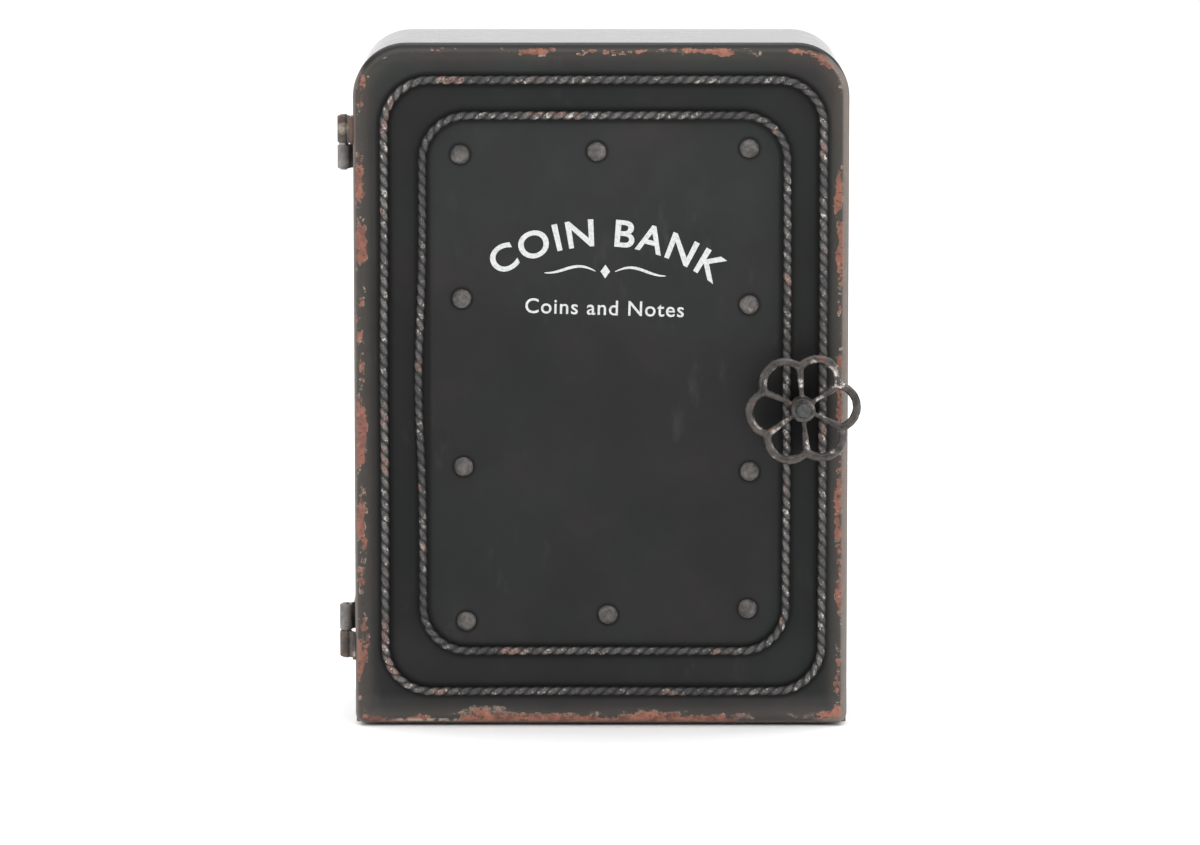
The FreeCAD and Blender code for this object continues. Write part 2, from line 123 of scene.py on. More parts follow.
def rounded_outline(low, high, base_radius, top_radius, count):
    """Points and outward normals in x, z around a rounded rectangle, evenly spaced by length,
    starting at the middle of the left side and going down, with their distances along it and its
    length. Each side is straight and each corner a quarter circle."""
    (x0, z0), (x1, z1) = low, high
    rb, rt = base_radius, top_radius
    middle = (z0 + z1) / 2
    quarter = math.pi / 2
    spans = [
        ("line", (x0, middle), (0, -1), middle - z0 - rb),
        ("arc", (x0 + rb, z0 + rb), math.pi, rb),
        ("line", (x0 + rb, z0), (1, 0), x1 - x0 - 2 * rb),
        ("arc", (x1 - rb, z0 + rb), 3 * quarter, rb),
        ("line", (x1, z0 + rb), (0, 1), z1 - z0 - rb - rt),
        ("arc", (x1 - rt, z1 - rt), 0.0, rt),
        ("line", (x1 - rt, z1), (-1, 0), x1 - x0 - 2 * rt),
        ("arc", (x0 + rt, z1 - rt), quarter, rt),
        ("line", (x0, z1 - rt), (0, -1), z1 - rt - middle),
    ]
    lengths = [s[3] * quarter if s[0] == "arc" else s[3] for s in spans]
    starts = np.concatenate([[0], np.cumsum(lengths)])
    s = np.linspace(0, starts[-1], count, endpoint=False)
    points = np.zeros((count, 2))
    normals = np.zeros((count, 2))
    for span, start, length in zip(spans, starts, lengths):
        here = (s >= start - 1e-12) & (s < start + length)
        t = s[here] - start
        if span[0] == "line":
            direction = np.array(span[2])
            points[here] = np.array(span[1]) + t[:, None] * direction
            normals[here] = (direction[1], -direction[0])
        elif span[3] > 0:
            angle = span[2] + t / span[3]
            ray = np.stack([np.cos(angle), np.sin(angle)], 1)
            points[here] = np.array(span[1]) + span[3] * ray
            normals[here] = ray
    return points, normals, s, starts[-1]


def grid_faces(rows, columns, close_rows=False, close_columns=True):
    """Quads of a rows x columns grid of points, joined end to end where asked."""
    r = np.arange(rows if close_rows else rows - 1)
    c = np.arange(columns if close_columns else columns - 1)
    r, c = (a.ravel() for a in np.meshgrid(r, c, indexing="ij"))
    r2, c2 = (r + 1) % rows, (c + 1) % columns
    return np.stack([r * columns + c, r * columns + c2, r2 * columns + c2, r2 * columns + c], 1)


def make_piece(name, points, faces, attributes=None, flat=False):
    """A mesh object at the origin from an array of points and groups of faces, with float
    attributes on its points."""
    mesh = bpy.data.meshes.new(name)
    faces = [f for group in faces for f in (group.tolist() if hasattr(group, "tolist") else group)]
    mesh.from_pydata(np.asarray(points, float).reshape(-1, 3).tolist(), [], faces)
    for key, values in (attributes or {}).items():
        layer = mesh.attributes.new(key, "FLOAT", "POINT")
        layer.data.foreach_set("value", np.asarray(values, np.float32).ravel())
    mesh.update()
    mesh.shade_flat() if flat else mesh.shade_smooth()
    piece = bpy.data.objects.new(name, mesh)
    bpy.context.scene.collection.objects.link(piece)
    return piece


def tube(path, across, up, radii, sides):
    """A ring of points round each point of a path, in the plane of across and up. The radii have
    a row for each point of the path, and a column for each side or just one."""
    angle = turned(sides)[None, :, None]
    ring = np.cos(angle) * across[:, None, :] + np.sin(angle) * up[:, None, :]
    return path[:, None, :] + radii[..., None] * ring


def frames_along(path, closed=True):
    """Two directions square to the path at each point: one across both the path and -Y, and one
    square to that."""
    if closed:
        tangent = np.roll(path, -1, 0) - np.roll(path, 1, 0)
    else:
        tangent = np.gradient(path, axis=0)
    tangent /= np.linalg.norm(tangent, axis=1, keepdims=True)
    forward = np.broadcast_to(np.array([0.0, -1.0, 0.0]), path.shape)
    across = np.cross(tangent, forward)
    across /= np.linalg.norm(across, axis=1, keepdims=True)
    return across, np.cross(across, tangent)


def bake_modifiers(piece):
    """Replaces the piece's mesh with the one its modifiers make."""
    graph = bpy.context.evaluated_depsgraph_get()
    made = bpy.data.meshes.new_from_object(
        piece.evaluated_get(graph), preserve_all_data_layers=True, depsgraph=graph
    )
    piece.modifiers.clear()
    old = piece.data
    piece.data = made
    made.name = piece.name
    bpy.data.meshes.remove(old)
    return piece


# ---- shader expressions ----


def maths(operation, flip=False):
    """A method of Value that adds a Math node. Flipped, the other number comes first."""

    def method(self, *others):
        values = (*others, self) if flip else (self, *others)
        return self.paint.add("ShaderNodeMath", {"operation": operation}, dict(enumerate(values)))

    return method


class Value:
    """A socket of a material. Arithmetic on it adds Math nodes. Low and high give the lesser and
    the greater of two."""

    def __init__(self, paint, socket):
        self.paint = paint
        self.socket = socket

    __add__ = __radd__ = maths("ADD")
    __mul__ = __rmul__ = maths("MULTIPLY")
    __sub__ = maths("SUBTRACT")
    __rsub__ = maths("SUBTRACT", flip=True)
    __pow__ = maths("POWER")
    __abs__ = maths("ABSOLUTE")
    low = maths("MINIMUM")
    high = maths("MAXIMUM")

    def above(self, start, end):
        """0 below start and 1 past end, eased between. The other way round if start is the
        greater."""
        if start > end:
            return 1 - self.above(end, start)
        inputs = {"Value": self, "From Min": start, "From Max": end}
        return self.paint.add("ShaderNodeMapRange", {"interpolation_type": "SMOOTHSTEP"}, inputs)


class Paint:
    """A material being built around one Principled shader."""

    def __init__(self, name):
        self.material = bpy.data.materials.new(name)
        self.material.use_nodes = True
        self.tree = self.material.node_tree
        self.tree.nodes.clear()
        self.shader = self.tree.nodes.new("ShaderNodeBsdfPrincipled")
        output = self.tree.nodes.new("ShaderNodeOutputMaterial")
        self.tree.links.new(self.shader.outputs["BSDF"], output.inputs["Surface"])
        self.coordinates = self.add("ShaderNodeTexCoord", output="Object")

    def set(self, socket, value):
        """Links a Value to a socket, or sets it to a number or colour."""
        if isinstance(value, Value):
            self.tree.links.new(value.socket, socket)
        else:
            socket.default_value = value

    def add(self, kind, settings=None, inputs=None, output=0):
        """Any node: its settings are set first, then the values or links of its sockets. Returns
        one of its outputs."""
        node = self.tree.nodes.new(kind)
        for key, value in (settings or {}).items():
            setattr(node, key, value)
        for key, value in (inputs or {}).items():
            self.set(node.inputs[key], value)
        return Value(self, node.outputs[output])

    def attribute(self, name):
        return self.add("ShaderNodeAttribute", {"attribute_name": name}, output="Fac")

    def axes(self):
        """The place on the object as x, y and z."""
        node = self.add("ShaderNodeSeparateXYZ", inputs={0: self.coordinates}).socket.node
        return [Value(self, s) for s in node.outputs]

    def shifted(self, shift, scale):
        """The place on the object, scaled and then shifted."""
        inputs = {"Vector": self.coordinates, "Location": shift, "Scale": scale}
        return self.add("ShaderNodeMapping", inputs=inputs)

    def noise(self, size, detail=3.0, roughness=0.55, shift=(0, 0, 0), stretch=(1, 1, 1)):
        """Noise about 0.5 whose features are about size metres across, drawn out along each axis
        by stretch."""
        place = self.shifted(shift, tuple(1 / (size * s) for s in stretch))
        inputs = {"Vector": place, "Scale": 1.0, "Detail": detail, "Roughness": roughness}
        return self.add("ShaderNodeTexNoise", inputs=inputs)

    def spots(self, spacing, radius):
        """1 inside scattered dots of the given radius, one to each cell of the given spacing."""
        inputs = {"Vector": self.coordinates, "Scale": 1 / spacing}
        cell = self.add("ShaderNodeTexVoronoi", inputs=inputs, output="Distance")
        return (cell * spacing).above(radius, radius * 0.55)

    def near(self, points, radius, soft):
        """1 within radius of any of the points (x, z) as seen from the front, fading to 0 over soft."""
        x, _, z = self.axes()
        closest = None
        for px, pz in points:
            away = (x - px) * (x - px) + (z - pz) * (z - pz)
            closest = away if closest is None else closest.low(away)
        return (closest**0.5).above(radius + soft, radius)

    def beside(self, low, high, corner, signed=False):
        """Distance seen from the front to the outline of a rounded rectangle: the length of the
        part of the offset from its corner circles' centres that lies outside them, less the
        corner's radius. Signed, it is below 0 inside the outline."""
        x, _, z = self.axes()
        qx = abs(x - (low[0] + high[0]) / 2) - ((high[0] - low[0]) / 2 - corner)
        qz = abs(z - (low[1] + high[1]) / 2) - ((high[1] - low[1]) / 2 - corner)
        outside = (qx.high(0) * qx.high(0) + qz.high(0) * qz.high(0)) ** 0.5
        distance = outside + qx.high(qz).low(0) - corner
        return distance if signed else abs(distance)

    def mix(self, factor, a, b):
        """Colour a where factor is 0 and b where it is 1."""
        a, b = ((*c, 1) if isinstance(c, tuple) and len(c) == 3 else c for c in (a, b))
        return self.add("ShaderNodeMix", {"data_type": "RGBA"}, {0: factor, 6: a, 7: b}, 2)

    def lighten(self, colour, amount):
        """Multiplies a colour by a Value."""
        grey = self.add("ShaderNodeCombineColor", inputs={0: amount, 1: amount, 2: amount})
        settings = {"data_type": "RGBA", "blend_type": "MULTIPLY"}
        return self.add("ShaderNodeMix", settings, {0: 1.0, 6: colour, 7: grey}, 2)

    def finish(
        self, colour, roughness, metallic=0.0, height=None, depth=0.1 * MM, specular=0.5, coat=0.0, haze=0.12
    ):
        """Wires the shader. Height is a Value from 0 to 1 that a Bump node makes depth metres
        tall. Haze is the roughness of the coat."""
        self.set(self.shader.inputs["Base Color"], (*colour, 1) if isinstance(colour, tuple) else colour)
        self.set(self.shader.inputs["Roughness"], roughness)
        self.set(self.shader.inputs["Metallic"], metallic)
        self.shader.inputs["Specular IOR Level"].default_value = specular
        self.set(self.shader.inputs["Coat Weight"], coat)
        self.shader.inputs["Coat Roughness"].default_value = haze
        if height is not None:
            inputs = {"Height": height, "Distance": depth}
            self.set(self.shader.inputs["Normal"], self.add("ShaderNodeBump", inputs=inputs))
        return self.material


# ---- finishes ----

PRIMER = (0.325, 0.128, 0.084)
PRIMER_DARK = (0.15, 0.062, 0.045)
FLAKE = (0.46, 0.36, 0.28)
SCUFF = (0.078, 0.062, 0.050)


def enamel_look(paint, chips, flakes, scuffs, shade=1.0, fresh=1.0):
    """Colour, roughness and height of aged black enamel. Chips is where primer shows, flakes is
    where the broken edge of the paint stands pale beside a chip, and scuffs is where the black has
    rubbed brown, each from 0 to 1. Shade multiplies the black, and fresh is the share of primer
    that is still bright."""
    cloud = paint.noise(55 * MM, 4.0, 0.6)
    green = paint.noise(40 * MM, 3.0, shift=(7, 2, 5)).above(0.40, 0.62)
    tint = paint.mix(green, (0.021, 0.0175, 0.0180), (0.0135, 0.0185, 0.0165))
    base = paint.mix(cloud.above(0.30, 0.70) * 0.8, (0.0095, 0.0100, 0.0105), tint)
    smear = paint.noise(11 * MM, 4.0, 0.62, shift=(2, 2, 2), stretch=(1, 1, 2.6)).above(0.56, 0.78)
    smear = smear * paint.noise(75 * MM, 2.0, 0.5, shift=(6, 1, 1)).above(0.48, 0.62)
    base = paint.lighten(paint.mix(smear * 0.5, base, (0.050, 0.054, 0.053)), shade)
    grain = paint.noise(1.1 * MM, 3.0, 0.7)
    base = paint.mix((scuffs * (0.35 + grain * 0.7)).low(1), base, SCUFF)
    tone = paint.noise(4.5 * MM, 4.0, 0.68, shift=(3, 1, 9)).above(0.36, 0.60) * fresh
    primer = paint.mix(tone, PRIMER_DARK, PRIMER)
    soot = paint.noise(1.7 * MM, 3.0, 0.6, shift=(8, 3, 3), stretch=(1.6, 1, 1)).above(0.58, 0.66)
    primer = paint.mix(soot * 0.8, primer, (0.035, 0.025, 0.021))
    pale = paint.noise(1.9 * MM, 4.0, 0.7, shift=(1, 8, 2)).above(0.58, 0.72)
    primer = paint.mix(pale * 0.5, primer, (0.52, 0.33, 0.24))
    colour = paint.mix(chips, base, primer)
    colour = paint.mix(flakes, colour, FLAKE)
    specks = paint.spots(22 * MM, 0.55 * MM)
    specks = specks * paint.noise(50 * MM, 2.0, shift=(4, 4, 1)).above(0.50, 0.56)
    colour = paint.mix(specks * (1 - chips), colour, (0.42, 0.41, 0.38))
    roughness = 0.44 + cloud * 0.14 + grain * 0.08 + chips * 0.22 - smear * 0.06
    orange_peel = paint.noise(8 * MM, 3.0, 0.6, shift=(2, 6, 6))
    height = (1 - chips) * 0.6 + flakes * 0.25 + grain * 0.18 + orange_peel * 0.5
    return colour, roughness, height


def door_wear(paint, inset, x, z):
    """Where primer shows on the door, where broken paint stands pale, where it has scuffed, the
    noise behind the ragged outlines, and the share of primer still bright. Islands of primer follow
    a line just inside the edge: their share falls with the square of the distance from it, and they
    are drawn out along each side. Along the bottom they join into a band."""
    upright = abs(x).above(84 * MM, 98 * MM) * z.above(8 * MM, 22 * MM) * z.above(292 * MM, 276 * MM)
    top = z.above(286 * MM, 292 * MM)
    left = x.above(-90 * MM, -98 * MM) * z.above(235 * MM, 200 * MM) * z.above(16 * MM, 40 * MM)
    right = x.above(92 * MM, 100 * MM) * z.above(275 * MM, 250 * MM)
    bottom = z.above(16 * MM, 12 * MM) * x.above(-80 * MM, -60 * MM) * (1 - x.above(52 * MM, 75 * MM) * 0.5)
    along_z = paint.noise(8.5 * MM, 3.0, 0.60, shift=(0.3, 0, 0.7), stretch=(1, 1, 2.2))
    along_x = paint.noise(7 * MM, 3.0, 0.62, shift=(0.6, 0, 0.2), stretch=(3.4, 1, 1))
    patch = along_x + (along_z - along_x) * upright
    ragged = paint.noise(2.6 * MM, 4.0, 0.66, shift=(5, 5, 5))
    off_line = (inset - (2.9 * MM + right * (0.8 * MM))) * (380 + right * 120 + top * 160)
    share = left * 0.052 + right * 0.055 + top * x.above(10 * MM, 70 * MM) * 0.045 - 0.022
    islands = patch * 0.76 + ragged * 0.24 + share - off_line * off_line * 0.085
    band = (4.6 * MM - inset) * 46 + (patch - 0.5) * 0.62 + (ragged - 0.5) * 0.22 + 0.50
    field = islands.high(band * bottom)
    chips = field.above(0.503, 0.530) * inset.above(0.4 * MM, 1.2 * MM)
    flakes = field.above(0.488, 0.502) * field.above(0.530, 0.512) * ragged.above(0.52, 0.62) * 0.55
    pale_line = bottom * field.above(0.450, 0.500) * field.above(0.545, 0.510)
    flakes = flakes.high(pale_line * patch.above(0.44, 0.60) * ragged.above(0.36, 0.52) * 0.35)
    scratch = inset.above(1 * MM, 1.4 * MM) * inset.above(2.8 * MM, 2.2 * MM) * z.above(10 * MM, 6 * MM)
    scratch = scratch * x.above(-94 * MM, -86 * MM) * x.above(-58 * MM, -68 * MM) * ragged.above(0.40, 0.50)
    scuffs = inset.above(12.5 * MM, 2 * MM) * (0.22 + patch * 0.9) * (1 - top * 0.3)
    return chips, flakes.high(scratch), scuffs, ragged, 1 - upright * 0.5 - top * 0.25


def between_ropes(paint, z):
    """1 on the strip between the two wire mouldings, less near the bottom."""
    outside, inside = (paint.beside(*rope_outline(node), signed=True) for node in ROPE_CORNERS)
    strip = outside.above(1 * MM, -2 * MM) * inside.above(-1 * MM, 2 * MM)
    return strip * (1 - z.above(52 * MM, 30 * MM) * 0.75)


def door_dirt_and_shadow(paint):
    """1 beside the wire mouldings and around the rivets, where the door is painted near black for grime and
    for painted contact shadow.
    """
    dirt_and_shadow = paint.near(rivet_centres(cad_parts["door_rivets"]), 4.7 * MM, 1.2 * MM)
    for node in ROPE_CORNERS:
        low, high, corner = rope_outline(node)
        centre_line = paint.beside(low + WIRE_RADIUS, high - WIRE_RADIUS, corner)
        dirt_and_shadow = dirt_and_shadow.high(centre_line.above(4.4 * MM, 2.6 * MM))
    return dirt_and_shadow


def door_paint():
    """Enamel on the door, with light and shade painted into it: paler and glossier towards the top
    and along the bottom band, darker and duller on the strip between the mouldings and in a painted
    shadow behind the handwheel, near black beside the mouldings and rivets, where grime and painted
    contact shadow lie, and near black along the top edge as a painted shadow under the roof. Its
    outermost edge is rubbed brown, and down the right side worn nearly bare."""
    paint = Paint("door_enamel")
    inset = paint.attribute("inset")
    x, _, z = paint.axes()
    chips, flakes, scuffs, ragged, fresh = door_wear(paint, inset, x, z)
    between = between_ropes(paint, z)
    dirt_and_shadow = door_dirt_and_shadow(paint)
    # Painted shadow of the handwheel on the face behind it.
    shadow = paint.near([spindle_centre()], 12 * MM, 15 * MM)
    # Painted light and shade: the shade darkens the black, paler towards the top and along the bottom band,
    # darker on the strip between the mouldings and in the wheel's painted shadow; the coat's gloss follows
    # the same pattern.
    upper, foot = z.above(140 * MM, 285 * MM), z.above(16 * MM, 11 * MM)
    top = z.above(286 * MM, 292 * MM)
    shade = (0.78 + upper * 0.55 + foot * 0.7) * (1 - between * 0.38) * (1 - shadow * 0.6)
    colour, roughness, height = enamel_look(paint, chips, flakes, scuffs, shade, fresh)
    rim = inset.above(1.8 * MM, 0.6 * MM) * (0.30 + ragged * 0.9)
    colour = paint.mix(rim.low(0.9), colour, (0.115, 0.088, 0.073))
    # Painted shadow: the top edge of the door painted near black for the shadow gap under the roof.
    colour = paint.mix(inset.above(2.2 * MM, 0.8 * MM) * top, colour, (0.007, 0.007, 0.007))
    bare = x.above(94 * MM, 100 * MM) * inset.above(3.4 * MM, 2.2 * MM) * inset.above(0.4 * MM, 0.9 * MM)
    bare = bare * (0.55 + ragged * 0.5)
    colour = paint.mix(bare.low(0.9), colour, (0.175, 0.145, 0.125))
    # Grime and painted contact shadow: near black beside the mouldings and around the rivets, with less gloss
    # there.
    colour = paint.mix((dirt_and_shadow * 0.75).low(1), colour, (0.006, 0.006, 0.006))
    gloss = (0.29 + upper * 0.11) * (1 - between * 0.28) * (1 - shadow * 0.75) * (1 - dirt_and_shadow * 0.5)
    gloss = gloss.high(inset.above(14 * MM, 4 * MM) * 0.55) + foot * 0.10
    # The coat is taken off the top edge too, so the painted shadow there stays dark.
    gloss = gloss * (1 - top * inset.above(3 * MM, 1.2 * MM) * 0.95)
    roughness = roughness + dirt_and_shadow * 0.15
    return paint.finish(colour, roughness, height=height, specular=0.12, coat=gloss, haze=0.40)


def sheet_paint(name, worn=1.0, panel=False):
    """Enamel on a flat piece of the case, chipped along the front, back and base of the case's
    walls, or round the outline of a panel that faces along Y."""
    paint = Paint(name)
    x, y, z = paint.axes()
    ragged = paint.noise(4 * MM, 5.0, 0.74, shift=(2, 9, 4))
    patch = paint.noise(20 * MM, 3.0, 0.6, shift=(6, 0, 2))
    if panel:
        near = (CASE_HIGH[0] - abs(x)).low(CASE_HIGH[2] - z).low(z)
    else:
        near = abs(y + CASE_HALF_DEPTH).low(CASE_HALF_DEPTH - y).low(z)
    field = (3 * MM * worn - near) * 40 + (patch - 0.5) * 0.9 + (ragged - 0.5) * 0.5 + 0.22 + 0.12 * worn
    chips = field.above(0.50, 0.52)
    flakes = field.above(0.475, 0.495) * field.above(0.53, 0.51) * ragged.above(0.46, 0.60) * 0.7
    scuffs = near.above(12 * MM, 1 * MM) * (0.2 + patch * 0.7)
    colour, roughness, height = enamel_look(paint, chips, flakes, scuffs)
    # Greyer over the top few millimetres of the case.
    greyer_top = z.above(CASE_HIGH[2] - 3 * MM, CASE_HIGH[2] - 0.5 * MM) * (0.6 + patch * 0.5)
    colour = paint.mix(greyer_top * 0.5, colour, (0.14, 0.14, 0.14))
    roughness = roughness - 0.27
    return paint.finish(
        colour, roughness, height=height, depth=0.03 * MM, specular=0.45, coat=1.0, haze=0.05
    )


def wire_metal():
    """Twisted wire in worn black paint: dark in the grooves, grey on the crests of some stretches,
    with coppery stretches and small pale glints of rubbed steel that also serve as painted
    highlights. The crest attribute carries painted light, so the crests fade on the rope's sides,
    and the stretches on the right are painted lighter, as light falling from the right."""
    paint = Paint("moulding_wire")
    # The crest attribute holds the crests of the strands times painted light, which fades on the rope's
    # sides.
    crest = paint.attribute("crest")
    fine = paint.noise(0.9 * MM, 4.0, 0.7, shift=(4, 1, 7))
    mottle = paint.noise(3.5 * MM, 3.0, 0.65, shift=(1, 1, 4))
    stretch = paint.noise(34 * MM, 2.0, 0.5, shift=(9, 2, 3)).above(0.34, 0.66)
    x = paint.axes()[0]
    # Stretches on the left are paler and more coppery; those on the right are painted lighter, as light
    # falling from the right.
    left, right = x.above(-80 * MM, -84 * MM), x.above(50 * MM, 60 * MM)
    high = crest.above(0.22, 1.05)
    chipped = fine.above(0.40, 0.56)
    stretch = stretch + left * 0.55 + right * 0.30
    bright = (high * (0.28 + stretch * 0.42) * (0.06 + mottle * 0.75 + chipped * 0.60)).low(1)
    colour = paint.mix(bright, (0.009, 0.009, 0.010), (0.190, 0.179, 0.170))
    copper = paint.noise(19 * MM, 2.0, 0.5, shift=(8, 8, 3)) + left * 0.06
    copper = copper.above(0.615, 0.660) * crest.above(0.15, 0.75)
    tone = paint.mix(fine.above(0.35, 0.65), (0.085, 0.045, 0.036), (0.40, 0.24, 0.19))
    colour = paint.mix(copper * (0.10 + mottle), colour, tone)
    # Glints: pale specks of rubbed steel on the crests that also serve as painted highlights.
    glints = (mottle * 0.55 + fine * 0.45).above(0.560, 0.61) * crest.above(0.35, 0.75)
    glints = glints * (0.25 + stretch * 0.75).low(1)
    colour = paint.mix(glints * 0.8, colour, (0.60, 0.55, 0.50))
    roughness = 0.46 - glints * 0.12 + fine * 0.14
    return paint.finish(colour, roughness, glints * 0.5, fine, depth=0.09 * MM, specular=0.3)


def worn_metal(name, dark, mid, bright, glint=0.58, size=4 * MM, roughness=0.42, rust=0.0, spots=()):
    """Dark painted metal, mottled from dark to mid, whose high places are rubbed to bright. Glint
    is the share that stays unrubbed. Each spot is the x, z and radius of a place painted pale, which
    on the handwheel is a painted highlight."""
    paint = Paint(name)
    coarse = paint.noise(size * 2.6, 3.0, 0.6)
    fine = paint.noise(size * 0.26, 4.0, 0.7, shift=(4, 1, 7))
    mottle = paint.noise(size, 4.0, 0.68, shift=(1, 3, 8))
    colour = paint.mix((mottle * 0.6 + coarse * 0.4).above(0.36, 0.66), dark, mid)
    if rust:
        stain = paint.noise(size * 2.1, 3.0, 0.6, shift=(8, 8, 3)).above(0.66 - rust, 0.74 - rust)
        brown = paint.mix(fine, (0.075, 0.034, 0.024), (0.19, 0.095, 0.066))
        colour = paint.mix(stain * 0.7, colour, brown)
    rubbed = (coarse * 0.55 + fine * 0.20 + mottle * 0.25).above(glint, glint + 0.06)
    broken = (mottle * 0.5 + fine * 0.5).above(0.38, 0.54)
    # Spots: pale places painted onto the rubbed metal; on the handwheel they are painted highlights.
    for x, z, radius in spots:
        rubbed = rubbed.high(paint.near([(x, z)], radius * 0.5, radius * 1.3) * broken)
    colour = paint.mix(rubbed * (0.45 + fine * 0.8), colour, bright)
    roughness = roughness - rubbed * 0.14 + fine * 0.16
    return paint.finish(colour, roughness, rubbed * 0.8, fine, depth=0.06 * MM, specular=0.45)


def bare_metal(name, colour, roughness=0.38, rust=0.3):
    """Dull bare steel with fine scratches and a little rust."""
    paint = Paint(name)
    streak = paint.noise(1.2 * MM, 3.0, 0.6, stretch=(1, 1, 6))
    stain = paint.noise(6 * MM, 4.0, 0.65, shift=(3, 3, 3)).above(1 - rust, 1.15 - rust)
    tone = paint.mix(streak, tuple(0.72 * c for c in colour), colour)
    tone = paint.mix(stain, tone, (0.13, 0.055, 0.028))
    roughness = roughness + streak * 0.16 + stain * 0.3
    return paint.finish(tone, roughness, 1 - stain, streak, depth=0.03 * MM)


# ---- pieces ----


class MoneyBoxSizes(bpy.types.PropertyGroup):
    """Sizes and colours that a user would change."""

    roll: FloatProperty(
        name="Rolled edge", description="Width of the steep part of the door's rolled edge",
        default=4.2 * MM, unit="LENGTH",
    )
    crown: FloatProperty(
        name="Crown", description="How far the door's face falls away towards its edge",
        default=0.7 * MM, unit="LENGTH",
    )
    groove: FloatProperty(
        name="Groove", description="Depth of the groove between the twisted wires",
        default=0.50 * MM, unit="LENGTH",
    )
    lay: FloatProperty(
        name="Lay", description="Length of one turn of the twisted wires",
        default=9.85 * MM, unit="LENGTH",
    )
    rope_samples: IntProperty(
        name="Rope samples", description="Rings of points for each turn of wire", default=18, min=8
    )
    sign: StringProperty(
        name="Sign", description="Words painted in an arch on the door", default="COIN BANK"
    )
    line: StringProperty(
        name="Line", description="Words painted under the arch", default="Coins and Notes"
    )
    sign_colour: FloatVectorProperty(
        name="Sign colour", description="Paint of the sign",
        subtype="COLOR", size=3, default=(0.60, 0.62, 0.61),
    )


def sizes():
    return bpy.context.scene.money_box


def relief(x, z):
    """How far the door's face stands back from flat: two crossed sets of slow waves in the sheet."""
    return 0.10 * MM * (np.sin(x * 61 + 1.3 * np.sin(z * 29)) + np.sin(z * 43 + 2 + 1.1 * np.sin(x * 37)))


def make_door(sizes):
    """The pressed door. Its profile goes from the back rim forward along the side wall, round the
    rolled edge, over a slight crown and on to the middle, and is carried around the rounded outline
    at each inset."""
    low, high = DOOR_LOW[[0, 2]], DOOR_HIGH[[0, 2]]
    roll, crown, reach = sizes.roll, sizes.crown, 14 * MM
    back = DOOR_HIGH[1]
    turn = np.linspace(0, math.pi / 2, 12)
    front = FACE + roll + crown
    wall = [(0.0, back + t * (front - back)) for t in (0.0, 0.35, 0.7)]
    corner = [(roll * (1 - math.cos(a)), FACE + roll * (1 - math.sin(a))) for a in turn]
    field = np.concatenate([np.linspace(roll, reach, 20)[1:], np.linspace(reach, 104 * MM, 16)[1:]])
    rows = np.array(wall + corner + [(inset, FACE) for inset in field])
    rows[len(wall) :, 1] += crown * np.clip(1 - rows[len(wall) :, 0] / reach, 0, 1) ** 2.5
    columns = 640
    points, insets = [], []
    for inset, y in rows:
        base, top = max(BASE_RADIUS - inset, 0.5 * MM), max(TOP_RADIUS - inset, 1.5 * MM)
        ring, _, s, length = rounded_outline(low + inset, high - inset, base, top, columns)
        dent = wander(s / length * 2 * math.pi, 5, 24) * 0.10 * MM
        dent = dent * float(bump(inset, 3 * MM, 4 * MM))
        points.append(np.stack([ring[:, 0], np.full(columns, y) + dent, ring[:, 1]], 1))
        insets.append(np.full(columns, inset if inset > 0 else front - y))
    points = np.array(points)
    x, z = points[..., 0], points[..., 2]
    flat = smooth((np.array(insets) - 12 * MM) / (20 * MM))
    points[..., 1] += flat * relief(x, z)
    faces = grid_faces(len(rows), columns)
    middle = [list(range((len(rows) - 1) * columns, len(rows) * columns))]
    piece = make_piece("door_face", points, [faces, middle], {"inset": insets})
    wall = piece.modifiers.new("Sheet", "SOLIDIFY")
    wall.thickness = SHEET
    wall.offset = -1
    wall.use_even_offset = True
    return bake_modifiers(piece)


def make_rope(name, node, sizes, seed, bow):
    """Two wires twisted together along a rounded rectangle. The section's radius falls from the
    rope's full radius at two opposite crests to a creased groove between them, as the absolute value
    of a cosine, and the section turns with its distance along the route, once in each lay. The left
    side bows outwards. The crest attribute also carries painted light: it falls to 0 where the rope
    turns away from the front, which paints shade on the rope's sides."""
    front, back = (v[1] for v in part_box(node))
    low, high, radius = rope_outline(node)
    half = (back - front) / 2 + 0.1 * MM
    centre_low, centre_high = low + half, high - half
    length = rounded_outline(centre_low, centre_high, radius, radius, 64)[3]
    turns = round(length / sizes.lay)
    count = turns * sizes.rope_samples
    ring, normal, s, length = rounded_outline(centre_low, centre_high, radius, radius, count)
    around = s / length * 2 * math.pi
    side = 1 - smooth(np.abs(ring[:, 0] - centre_low[0]) / (15 * MM))
    side = side * bump(ring[:, 1], 153 * MM, 35 * MM)
    shift = wander(around, seed, 9)[:, None] * 0.22 * MM * normal
    ring = ring + shift + np.stack([-bow * side, np.zeros(count)], 1)
    path = np.stack([ring[:, 0], np.full(count, front + half), ring[:, 1]], 1)
    across, up = frames_along(path)
    sides = 32
    twist = 2 * math.pi * turns * s / length + 0.35 * wander(around, seed + 1, 30)
    angle = turned(sides)
    crest = np.abs(np.cos(angle[None, :] - twist[:, None])) ** 0.85
    # Painted light: 1 on the side of the rope towards the front, falling to 0 as it turns away, to paint
    # shade on its sides.
    painted_light = np.clip(np.sin(angle)[None, :], 0, 1) ** 1.3
    swell = 0.06 * MM * wander(around, seed + 2, 40)[:, None]
    section = half - 0.1 * MM - sizes.groove * (1 - crest) + swell
    points = tube(path, across, up, section, sides)
    points[..., 1] = np.minimum(points[..., 1], FACE + 0.15 * MM)
    faces = grid_faces(count, sides, close_rows=True)[:, ::-1]
    # The crest attribute is the crest times the painted light.
    return make_piece(name, points, [faces], {"crest": (0.25 + 0.75 * crest) * painted_light})


